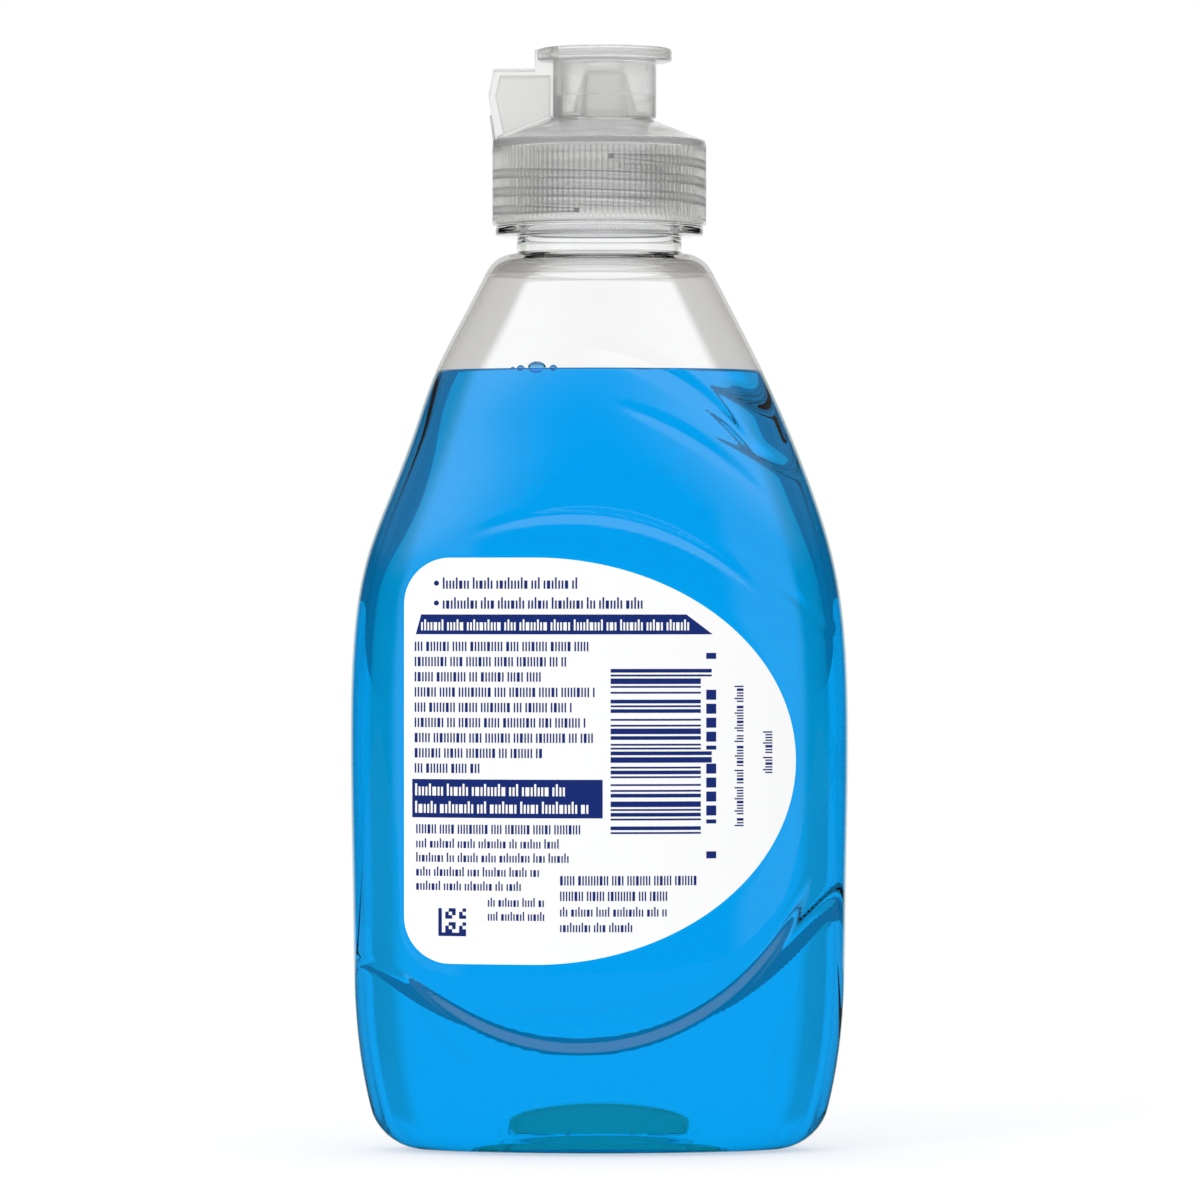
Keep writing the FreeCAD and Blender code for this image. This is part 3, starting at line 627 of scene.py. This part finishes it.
def line(start, end, across, height, seed, low_share=0.74, pitch=2.75, width=1.35, upright=False):
    """A row of small print as short ticks in groups, with no letters in it. Low ticks have a share of its height."""
    ticks = []
    at, group, mark_at = start, seed, seed * 7
    while at < end - pitch:
        for _ in range(GROUPS[group % len(GROUPS)]):
            if at > end - width:
                break
            mark = MARKS[mark_at % len(MARKS)]
            reach = height if mark == 1 else height * low_share
            wide = width * (1.9 if mark == 2 else 1.0)
            near, far = across + height / 2 - reach, across + height / 2
            ticks.append((near, at, far, at + wide) if upright else (at, near, at + wide, far))
            at += pitch + (width * 0.9 if mark == 2 else 0)
            mark_at += 1
        at += GROUP_GAP
        group += 3
    return ticks


def paragraph(left, top, spacing, height, seed, pitch, width, ends, tall_rows, low_share):
    """Rows of small print. Its first rows are tall all along."""
    ticks = []
    for k, end in enumerate(ends):
        share = 0.98 if k < tall_rows else low_share
        ticks += line(left, end, top + spacing * k, height, seed + k, share, pitch, width)
    return ticks


# Two lines with dots, as height, right end and seed
DOT_X, DOT_RADIUS, DOTTED_LEFT = 435.5, 2.6, 442
DOTTED = ((583, 580, 1), (603, 646, 3))

# A slanted band, a box and three paragraphs
BAND = ((414.6, 634.4), (713, 634.4), (686.6, 614.5), (420, 614.5))
BOX = ((411, 818.6), (602.6, 818.6), (602.6, 780), (411, 780))
PARAGRAPHS = (
    dict(left=413.5, top=646.5, spacing=15.3, height=9.6, seed=2, pitch=3.1, width=1.5,
         ends=(591, 568, 542, 597, 574, 587, 593, 541, 480), tall_rows=9, low_share=0.98),
    dict(left=415, top=830, spacing=14.2, height=9.4, seed=5, pitch=2.9, width=1.4,
         ends=(586, 561, 569, 540, 523), tall_rows=1, low_share=0.72),
    dict(left=560, top=881, spacing=15.6, height=9.6, seed=0, pitch=2.9, width=1.4,
         ends=(697, 668, 667, 634), tall_rows=2, low_share=0.74),
)

# Two short rows, and two upright ones, as start, end, middle, height and seed
SHORT_ROWS = ((487.5, 545.5, 903, 9, 2), (487.5, 547, 917, 9, 6))
UPRIGHT_ROWS = ((686, 828, 739.5, 9, 4), (732, 780, 768.5, 9.5, 1))

# A block of bars, as a bar's and a gap's units in turn, and short dashes beside it
BARS = (2, 1, 1, 1, 3, 1, 1, 2, 1, 3, 2, 1, 1, 1, 2, 3, 1, 2, 1, 1, 3, 1, 2, 2, 1, 1, 1, 1, 2, 1, 3, 2, 1, 1, 2, 1,
        1, 3, 1, 2, 1, 1, 2, 2, 3, 1, 1, 1, 2, 1, 1, 3, 2, 1, 1, 2)
BAR_UNIT, GAP_UNIT = 1.85, 2.0
BARS_TOP, BARS_FOOT, BARS_LEFT, BARS_RIGHT, LONG_RIGHT = 669.0, 843, 610.6, 701, 712
LONG_MIDDLE, LONG_FOOT = (750, 761), 834
DASH_LEFT, DASH_RIGHT = 706.5, 716.5
DASHES = ((653, 659), (690, 700), (704, 714), (718, 728), (732, 742), (746, 750), (764, 774), (778, 788),
          (792, 802), (806, 816), (820, 824), (852, 859))

# A small square of cells in a plain pattern
CELLS, CELL, CELLS_LEFT, CELLS_TOP = 8, 3.5, 437.5, 909.5

# Pale rows on the band and the box
PALE_ROWS = ((420, 692, 625, 11, 5, 0.74, 3.2, 1.8), (414, 566, 790.5, 12, 1, 0.74, 3.5, 2.0),
             (414, 590, 808, 12, 4, 0.74, 3.5, 2.0))


def bar_block():
    """Bars one under another. The first two, those at the middle and the last reach further right."""
    bars = []
    y = BARS_TOP
    for units, gap in zip(BARS[::2], BARS[1::2]):
        height = units * BAR_UNIT
        if y + height > BARS_FOOT:
            break
        reaches = len(bars) < 2 or y > LONG_FOOT or LONG_MIDDLE[0] < y < LONG_MIDDLE[1]
        bars.append(bar(BARS_LEFT, y, LONG_RIGHT if reaches else BARS_RIGHT, y + height))
        y += height + gap * GAP_UNIT
    return bars


def cell_block():
    """The filled cells of the small square: its left and lower edges, and a plain pattern inside."""
    cells = []
    for row in range(CELLS):
        for column in range(CELLS):
            if column == 0 or row == CELLS - 1 or (row * 3 + column * 5 + row * column) % 4 in (0, 3):
                x, y = CELLS_LEFT + column * CELL, CELLS_TOP + row * CELL
                cells.append(bar(x, y, x + CELL, y + CELL))
    return cells


def joined(objs):
    """The vertices, in millimetres, and faces of flat pieces, which are then dropped."""
    verts, faces = [], []
    for obj in objs:
        n = len(verts)
        verts += [tuple(v.co / MM) for v in obj.data.vertices]
        faces += [[i + n for i in face.vertices] for face in obj.data.polygons]
        bpy.data.objects.remove(obj)
    return verts, faces


def add_ticks(verts, faces, ticks, out):
    """Add each tick to a mesh's lists as one face on the front of the body."""
    for x0, y0, x1, y1 in ticks:
        n = len(verts)
        verts += [front(*corner, out) for corner in bar(x0, y0, x1, y1)]
        faces.append([n, n + 1, n + 2, n + 3])
    return verts, faces


fields = [dot(DOT_X, y, DOT_RADIUS) for y, _, _ in DOTTED]
fields += [[place(*corner) for corner in field] for field in (BAND, BOX)]
fields += bar_block() + [bar(DASH_LEFT, top, DASH_RIGHT, foot) for top, foot in DASHES] + cell_block()
ticks = [tick for y, end, seed in DOTTED for tick in line(DOTTED_LEFT, end, y, 11.5, seed, 0.72, 3.3, 1.7)]
ticks += [tick for text in PARAGRAPHS for tick in paragraph(**text)]
ticks += [tick for row in SHORT_ROWS for tick in line(*row)]
ticks += [tick for row in UPRIGHT_ROWS for tick in line(*row, upright=True)]
pale_ticks = [tick for row in PALE_ROWS for tick in line(*row)]

flat_pieces = [patch("print_part%d" % i, field, PRINT_OUT, 0, navy, 2.0) for i, field in enumerate(fields)]
label_print = make("label_print", *add_ticks(*joined(flat_pieces), ticks, PRINT_OUT), navy)
pale_print = make("pale_print", *add_ticks([], [], pale_ticks, PALE_OUT), film)

# Cap, from its foot up to the nozzle's tip

CAP_FOOT, CAP_EDGE, SLOPE_FOOT, SLOPE_TOP = 141.4, 153.3, 154.55, 157.6
CAP_R, CAP_BORE, CAP_WALL = 16.37, 14.7, 1.3
COLLAR_TOP, NOZZLE_TIP = 158.6, 164.9
SPOUT = 0.8
RIBS, RIB_DEPTH, RIB_FOOT, RIB_RUNOUT, RIB_POWER = 120, 0.24, 0.6, 0.5, 1.4
# How far under the skirt a face sits to take the painted groove shade
SHADED_GROOVE_FROM, SHADED_GROOVE_TO = 0.13, 0.35


def ribs(t, r, z):
    """Fine upright grooves round the skirt, with what stands between them as ribs."""
    foot = CAP_FOOT + RIB_FOOT
    if r < CAP_R - 0.02 or not foot < z < CAP_EDGE:
        return 0.0
    fade = min(1.0, (z - foot) / RIB_RUNOUT, (CAP_EDGE - z) / RIB_RUNOUT)
    wave = 0.5 - 0.5 * np.cos(t * RIBS)
    return RIB_DEPTH * fade * wave ** RIB_POWER


def cap_profile():
    """The cap's section: foot, ribbed skirt, slope, collar and nozzle, then the bore, the seal ring and down."""
    foot = profile([(CAP_BORE, CAP_FOOT + 0.5, 0), (CAP_BORE, CAP_FOOT, 0.15), (CAP_R, CAP_FOOT, 0.2),
                    (CAP_R, CAP_FOOT + 0.6, 0)])[1:-1]
    skirt = [(CAP_R, z, 0.0) for z in np.linspace(CAP_FOOT + 0.4, CAP_EDGE, 26)]
    top = profile([(CAP_R, CAP_EDGE, 0), (CAP_R, CAP_EDGE + 0.95, 0.9), (15.3, SLOPE_FOOT + 0.06, 0.5),
                   (8.02, SLOPE_TOP, 0.2), (7.2, SLOPE_TOP, 0.15, SPOUT), (7.0, COLLAR_TOP, 0.25, SPOUT),
                   (5.2, COLLAR_TOP, 0.3, SPOUT), (3.2, NOZZLE_TIP, 0.25, SPOUT), (2.65, NOZZLE_TIP, 0.15, SPOUT),
                   (3.17, SLOPE_TOP, 0.1, SPOUT), (3.17, SLOPE_TOP - CAP_WALL, 0.2, SPOUT),
                   (8.02, SLOPE_TOP - CAP_WALL, 0.3), (10.9, 155.1, 0.2), (11.0, 152.3, 0.2), (12.4, 152.3, 0.2),
                   (12.4, 154.5, 0.2), (CAP_BORE, SLOPE_FOOT - CAP_WALL, 0.4), (CAP_BORE, CAP_FOOT + 0.5, 0)])[1:]
    return foot + skirt + top


cap = turned("cap", cap_profile(), 720, cap_plastic, ribs)
cap.data.materials.append(spout_plastic)
cap.data.materials.append(groove_painted_shade)
# The nozzle takes the spout's plastic, and faces down in the skirt's grooves take the painted groove shade
for face in cap.data.polygons:
    sunk_by = CAP_R - face.center.xy.length / MM
    if face.center.z > (SLOPE_TOP + 0.1) * MM:
        face.material_index = 1
    elif SHADED_GROOVE_FROM < sunk_by < SHADED_GROOVE_TO and face.center.z < CAP_EDGE * MM:
        face.material_index = 2

# Screw threads, one inside the cap and one round the neck

PITCH, THREAD_WIDTH, THREAD_RUNOUT = 2.78, 1.5, 0.12
STEPS_PER_TURN = 96


def thread(name, root, crest, top, start, turns, material):
    """A thread that winds down from a height, from an angle given from the front towards +X."""
    rows = []
    steps = int(turns * STEPS_PER_TURN)
    for k in range(steps + 1):
        turn = turns * k / steps
        angle, z = start + TURN * turn, top - PITCH * turn
        fade = smooth(min(turn, turns - turn) / THREAD_RUNOUT)
        tip = root + (crest - root) * max(fade, 0.04)
        inner = root - (crest - root) * 0.1
        half = THREAD_WIDTH * (0.25 + 0.25 * fade)
        section = ((inner, half), (root, half), (tip, half * 0.62), (tip, -half * 0.62), (root, -half),
                   (inner, -half))
        rows.append(np.array([(r * math.sin(angle), -r * math.cos(angle), z + up) for r, up in section]))
    return orient(make(name, *rings(rows, closed=False), material))


cap_thread = thread("cap_thread", CAP_BORE, 13.75, 151.2, 0.1, 2.95, thread_plastic)
neck_thread = thread("neck_thread", NECK_R, 13.8, 149.9, 0.3, 2.1, neck_clear)

# Flip lid: a turned crown with its plug, and a hollow arm and a strap down to the hinge

LID_FOOT, LID_LEDGE, LID_TOP, FLANGE_FOOT = 157.8, 161.2, 168.4, 166.4
HINGE_X, HINGE_Z = -15.9, 152.9
ARM_TOP, ARM_HALF, CHANNEL_HALF, STRAP_HALF = LID_TOP - 3.3, 4.5, 3.5, 4.4
CROWN_CLEAR = 7.8

lid_profile = profile([(0.01, LID_TOP, 0), (10.3, LID_TOP, 0.5), (10.3, FLANGE_FOOT, 0.5), (7.91, FLANGE_FOOT, 0.4),
                       (7.91, LID_FOOT, 0.15), (7.44, LID_FOOT, 0.12), (7.44, LID_LEDGE, 0.1),
                       (6.64, LID_LEDGE, 0.15), (6.64, 166.6, 0.3), (2.95, 166.6, 0.2), (2.95, 165.1, 0.15),
                       (2.45, 165.1, 0.1), (1.9, 164.4, 0.15), (0.01, 164.4, 0)])
lid_profile = [(r, z, SPOUT) for r, z, _ in lid_profile]
lid = turned("lid_crown", lid_profile, 144, lid_plastic, closed=False)


def slab(name, outline, half, material):
    """An outline seen from the front, extruded by a half width to both sides."""
    n = len(outline)
    verts = [(x, -half, z) for x, z in outline] + [(x, half, z) for x, z in outline]
    faces = [list(range(n)), [n + i for i in reversed(range(n))]]
    faces += [[i, i + n, (i + 1) % n + n, (i + 1) % n] for i in range(n)]
    return orient(make(name, verts, faces, material, False))


arm = slab("lid_arm", [(-5.0, LID_TOP - 0.35), (-9.85, LID_TOP - 0.35), (-9.85, ARM_TOP), (HINGE_X - 0.3, ARM_TOP),
                       (HINGE_X - 1, ARM_TOP - 4), (HINGE_X - 0.1, HINGE_Z + 0.8), (HINGE_X + 0.6, SLOPE_FOOT + 0.3),
                       (-8.02, LID_FOOT), (-5.0, LID_FOOT)], ARM_HALF, lid_plastic)
channel = slab("channel", [(-7.5, SLOPE_FOOT - 1), (-7.5, ARM_TOP - 1), (HINGE_X + 0.7, ARM_TOP - 1),
                           (HINGE_X, ARM_TOP - 4), (-14.3, SLOPE_FOOT - 1)], CHANNEL_HALF, cap_plastic)
core = turned("core", [(CROWN_CLEAR, LID_FOOT - 2, SPOUT), (CROWN_CLEAR, LID_TOP + 2, SPOUT)], 96, cap_plastic,
              closed=False)
carve(arm, channel)
carve(arm, core)
soften(arm, 0.22, 28)
settle(arm, channel, core)
strap = slab("hinge_strap", [(-16.75, HINGE_Z + 5.1), (-16.45, HINGE_Z + 5.1), (-15.68, HINGE_Z - 0.1),
                             (-16.1, HINGE_Z - 0.1)], STRAP_HALF, lid_plastic)
soften(strap, 0.08, 25)
settle(strap)

# Bubbles on the soap, against the front wall: place, radius and half height

BUBBLES = ((-9.45, 1.38, 0.92), (-11.9, 0.6, 0.5), (-13.1, 0.36, 0.32), (-6.95, 0.58, 0.5))


def bubble(x, radius, tall):
    """A bubble that stands on the soap at a place along the front wall."""
    a, b, c = body_at(FILL)
    y = -(b - WALL - radius - 0.1) * math.sqrt(max(0.0, 1 - ((x - c) / (a - WALL - radius)) ** 2))
    around = np.arange(32) * TURN / 32
    rows = []
    for up in [math.radians(deg) for deg in np.linspace(-86, 86, 19)]:
        wide = radius * math.cos(up)
        level = np.full(32, FILL + tall * (0.35 + math.sin(up)))
        rows.append(np.stack([x + wide * np.cos(around), y + wide * np.sin(around), level], 1))
    return rings(rows, closed=False)


verts, faces = [], []
for shape in BUBBLES:
    bubble_verts, bubble_faces = bubble(*shape)
    faces += [[i + len(verts) for i in face] for face in bubble_faces]
    verts += bubble_verts
bubbles = make("bubbles", verts, faces, bubble_skin)

# Each piece with its body, the node that it stands for, if any, and its slot
PIECES = [
    (bottle, "bottle_body", "bottle", "clear_bottle"),
    (neck, "bottle_body", None, "clear_bottle"),
    (soap, "bottle_body", "liquid", "blue_soap"),
    (label, "bottle_body", "back_label", "label_film"),
    (label_print, "bottle_body", None, "label_film"),
    (cap, "closure", "closure_body", "cap_plastic"),
    (lid, "lid", "flip_lid", "cap_plastic"),
    (arm, "lid", None, "cap_plastic"),
    (strap, "lid", None, "cap_plastic"),
    (cap_thread, "closure", None, "cap_plastic"),
    (neck_thread, "bottle_body", None, "clear_bottle"),
    (pale_print, "bottle_body", None, "label_film"),
    (bubbles, "bottle_body", None, "blue_soap"),
]
for obj, body, node, slot in PIECES:
    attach(obj, body)
    if node:
        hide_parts(node)

# Floor: pale, with a glow of its own that rays through the soap see brighter and mirrored rays see darker

FLOOR_SIDE, FLOOR_NEAR, FLOOR_FAR, FLOOR_DROP = 6, -0.3, 0.45, 0.0002
FLOOR_COLOUR, FLOOR_MIRRORED = 0.55, -0.48
GLOW, GLOW_THROUGH, GLOW_MIRRORED = 0.5, 0.35, -0.5

floor_mesh = bpy.data.meshes.new("floor")
floor_mesh.from_pydata([(-FLOOR_SIDE, FLOOR_NEAR, 0), (FLOOR_SIDE, FLOOR_NEAR, 0), (FLOOR_SIDE, FLOOR_FAR, 0),
                        (-FLOOR_SIDE, FLOOR_FAR, 0)], [], [(0, 1, 2, 3)])
floor = bpy.data.objects.new("floor", floor_mesh)
floor.location.z = -FLOOR_DROP
bpy.context.scene.collection.objects.link(floor)

floor_white = bpy.data.materials.new("floor_white")
tree = empty_tree(floor_white)
ray = add_node(tree, "ShaderNodeLightPath").outputs
paint = add_node(tree, "ShaderNodeMath", {0: ray["Is Glossy Ray"], 1: FLOOR_MIRRORED, 2: FLOOR_COLOUR},
                 operation="MULTIPLY_ADD").outputs[0]
glow = add_node(tree, "ShaderNodeMath", {0: ray["Is Transmission Ray"], 1: GLOW_THROUGH, 2: GLOW},
                operation="MULTIPLY_ADD").outputs[0]
glow = add_node(tree, "ShaderNodeMath", {0: ray["Is Glossy Ray"], 1: GLOW_MIRRORED, 2: glow},
                operation="MULTIPLY_ADD").outputs[0]
diffuse = add_node(tree, "ShaderNodeBsdfDiffuse", {"Color": paint}).outputs[0]
shine = add_node(tree, "ShaderNodeEmission", {"Strength": glow}).outputs[0]
both = add_node(tree, "ShaderNodeAddShader", {0: diffuse, 1: shine}).outputs[0]
add_node(tree, "ShaderNodeOutputMaterial", {"Surface": both})
floor_mesh.materials.append(floor_white)

# World: even white light. Mirrored rays and rays through the soap see a studio with darker sides

SIDE = (0.74, 0.77, 0.68, 1)
EDGE = (0.78, 0.82, 0.80, 1)
WHITE = (1, 1, 1, 1)
LIGHT = 0.92
DARK, BOX_LIGHT = 0.02, 0.3

world = bpy.data.worlds.new("studio")
bpy.context.scene.world = world
tree = empty_tree(world)


def maths(operation, a, b=0.0):
    return add_node(tree, "ShaderNodeMath", {0: a, 1: b}, operation=operation).outputs[0]


def ramp(value, low, high, start=0.0, end=1.0):
    """A soft ramp from start to end as the value goes from low to high."""
    return add_node(tree, "ShaderNodeMapRange", {0: value, 1: low, 2: high, 3: start, 4: end},
                    interpolation_type="SMOOTHSTEP").outputs[0]


def mixed(factor, first, second):
    """A number between two others."""
    return add_node(tree, "ShaderNodeMix", {0: factor, 2: first, 3: second}, data_type="FLOAT").outputs[0]


def tinted(share, colour, tint):
    """The colour, multiplied by a tint as far as the share says."""
    return add_node(tree, "ShaderNodeMix", {0: share, 6: colour, 7: tint}, data_type="RGBA",
                    blend_type="MULTIPLY").outputs[2]


# A direction's share towards the back of the room, level with the horizon, and its rise
direction = add_node(tree, "ShaderNodeTexCoord").outputs["Generated"]
axes = add_node(tree, "ShaderNodeSeparateXYZ", {0: direction}).outputs
level = maths("SQRT", maths("ADD", maths("MULTIPLY", axes[0], axes[0]), maths("MULTIPLY", axes[1], axes[1])))
ahead = maths("DIVIDE", axes[1], maths("MAXIMUM", level, 0.001))
near_horizon = ramp(maths("ABSOLUTE", axes[2]), 0.14, 0.30, 1.0, 0.0)

# What is seen through the soap: white behind the bottle, tinted towards the sides near the horizon
open_side = maths("MULTIPLY", ramp(ahead, -0.34, -0.14), near_horizon)
side = maths("MULTIPLY", ramp(ahead, 0.86, 0.92, 1.0, 0.0), open_side)
edge = maths("MULTIPLY", ramp(ahead, 0.45, 0.62, 1.0, 0.0), open_side)

# What is mirrored: a white panel behind, two soft boxes in front, a sky and a pale ground
boxes = maths("MULTIPLY", ramp(ahead, -0.82, -0.70), ramp(ahead, -0.30, -0.20, 1.0, 0.0))
mirrored = maths("MAXIMUM", maths("ADD", DARK, maths("MULTIPLY", boxes, BOX_LIGHT)), ramp(ahead, 0.84, 0.92))
sky = maths("MULTIPLY", ramp(axes[2], 0.16, 0.34), ramp(ahead, -0.3, 0.1, 1.0, 0.2))
mirrored = maths("MAXIMUM", mirrored, maths("MAXIMUM", sky, ramp(axes[2], 0.7, 0.9)))
mirrored = maths("MAXIMUM", mirrored, ramp(axes[2], -0.34, -0.16, 0.75, 0.0))

ray = add_node(tree, "ShaderNodeLightPath").outputs
seen_through = ray["Is Transmission Ray"]
strength = mixed(ray["Is Glossy Ray"], LIGHT, mirrored)
strength = mixed(maths("MAXIMUM", seen_through, ray["Is Camera Ray"]), strength, 1.0)
colour = tinted(maths("MULTIPLY", side, seen_through), WHITE, SIDE)
colour = tinted(maths("MULTIPLY", edge, seen_through), colour, EDGE)
background = add_node(tree, "ShaderNodeBackground", {0: colour, 1: strength}).outputs[0]
add_node(tree, "ShaderNodeOutputWorld", {0: background})

# Key lamp and camera

LAMP_PLACE, LAMP_AIM, LAMP_SIZE, LAMP_POWER = Vector((-0.9, -1.2, 0.9)), Vector((0, 0, 0.08)), 0.7, 5
CAMERA_PLACE, LENS, SENSOR = (0.0001, -1.21, 0.084), 237.0, 36.0

lamp_data = bpy.data.lights.new("key", "AREA")
lamp_data.size = LAMP_SIZE
lamp_data.energy = LAMP_POWER
lamp = bpy.data.objects.new("key", lamp_data)
lamp.location = LAMP_PLACE
lamp.rotation_euler = (LAMP_AIM - LAMP_PLACE).to_track_quat("-Z", "Y").to_euler()
lamp.visible_glossy = False
lamp.visible_transmission = False

camera_data = bpy.data.cameras.new("camera")
camera_data.lens = LENS
camera_data.sensor_width = SENSOR
camera = bpy.data.objects.new("camera", camera_data)
camera.location = CAMERA_PLACE
camera.rotation_euler = (math.radians(90), 0, 0)

scene = bpy.context.scene
scene.view_settings.view_transform = "Standard"
scene.collection.objects.link(lamp)
scene.collection.objects.link(camera)
scene.camera = camera
